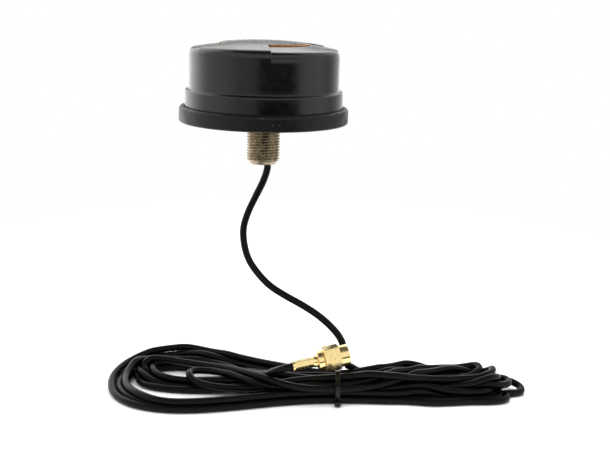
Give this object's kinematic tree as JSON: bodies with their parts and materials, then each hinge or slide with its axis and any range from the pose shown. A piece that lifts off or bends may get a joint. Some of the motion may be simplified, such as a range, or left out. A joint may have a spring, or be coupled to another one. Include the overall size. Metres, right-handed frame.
{
  "type": "gnss antenna",
  "caption": "Puck-shaped satellite positioning antenna with a domed radome, rubber base ring, hollow threaded stud, coaxial lead tied in a hank, and a gold-plated threaded plug.",
  "frame": {"origin": "on the stud axis, in the plane that the base ring's underside seats on", "axes": "+Z along the stud axis, up through the dome; +X towards the side on which the plug and the tight end of the hank lie; -Y towards the viewer in front"},
  "size_m": [0.1517, 0.078, 0.1208],
  "materials": {
    "radome_plastic": "fine satin moulded ASA, ultraviolet stable",
    "accent_print": "thin inlaid accent arc",
    "base_rubber": "matt moulded rubber",
    "seal_rubber": "moulded O-ring rubber",
    "cast_alloy": "die-cast, tumbled",
    "steel_screw": "zinc-plated steel",
    "nickel_brass": "nickel-plated brass, turned",
    "board_green": "solder mask over glass laminate",
    "can_tin": "tin-plated pressed steel",
    "chip_black": "moulded package",
    "chip_ceramic": "ceramic package",
    "tape_white": "double-sided adhesive tape",
    "patch_ceramic_mat": "fired dielectric ceramic",
    "silver_print": "fired silver paste",
    "foam_grey": "open-cell foam",
    "cable_jacket": "satin extruded PVC jacket",
    "cable_dielectric": "extruded polyethylene",
    "tie_nylon": "moulded nylon",
    "gold_plate": "gold plate over brass",
    "ptfe_white": "turned PTFE",
    "gasket_red": "silicone rubber"
  },
  "bodies": {
    "root": {"radome": "radome_plastic", "accent_arcs": "accent_print", "base_gasket": "base_rubber", "base_plate": "cast_alloy", "housing_seal": "seal_rubber", "base_screws": "steel_screw", "stud": "nickel_brass", "stud_seal": "seal_rubber", "stud_nut": "nickel_brass", "stud_grommet": "seal_rubber", "pcb": "board_green", "pcb_screws": "steel_screw", "shield_can": "can_tin", "lna_chip": "chip_black", "saw_filters": "chip_ceramic", "chip_passives": "chip_ceramic", "patch_tape": "tape_white", "patch_ceramic": "patch_ceramic_mat", "patch_electrode": "silver_print", "feed_pin": "gold_plate", "foam_pad": "foam_grey", "cable_inner": "cable_jacket", "braid_ferrule": "nickel_brass", "cable_core": "cable_dielectric", "cable_lead": "cable_jacket", "cable_hank": "cable_jacket", "cable_tie": "tie_nylon", "cable_tail": "cable_jacket", "plug_ferrule": "gold_plate", "plug_body": "gold_plate", "plug_core": "cable_dielectric", "plug_insulator": "ptfe_white", "plug_contact": "gold_plate", "plug_snap_ring": "gold_plate", "plug_gasket": "gasket_red"},
    "coupling_nut": {"plug_nut": "gold_plate"}
  },
  "joints": [
    {"name": "nut_spin", "type": "hinge", "parent": "root", "child": "coupling_nut", "pos_m": [0.026, -0.03, -0.0773], "axis": [0.961, 0.2219, 0.165], "continuous": true}
  ]
}
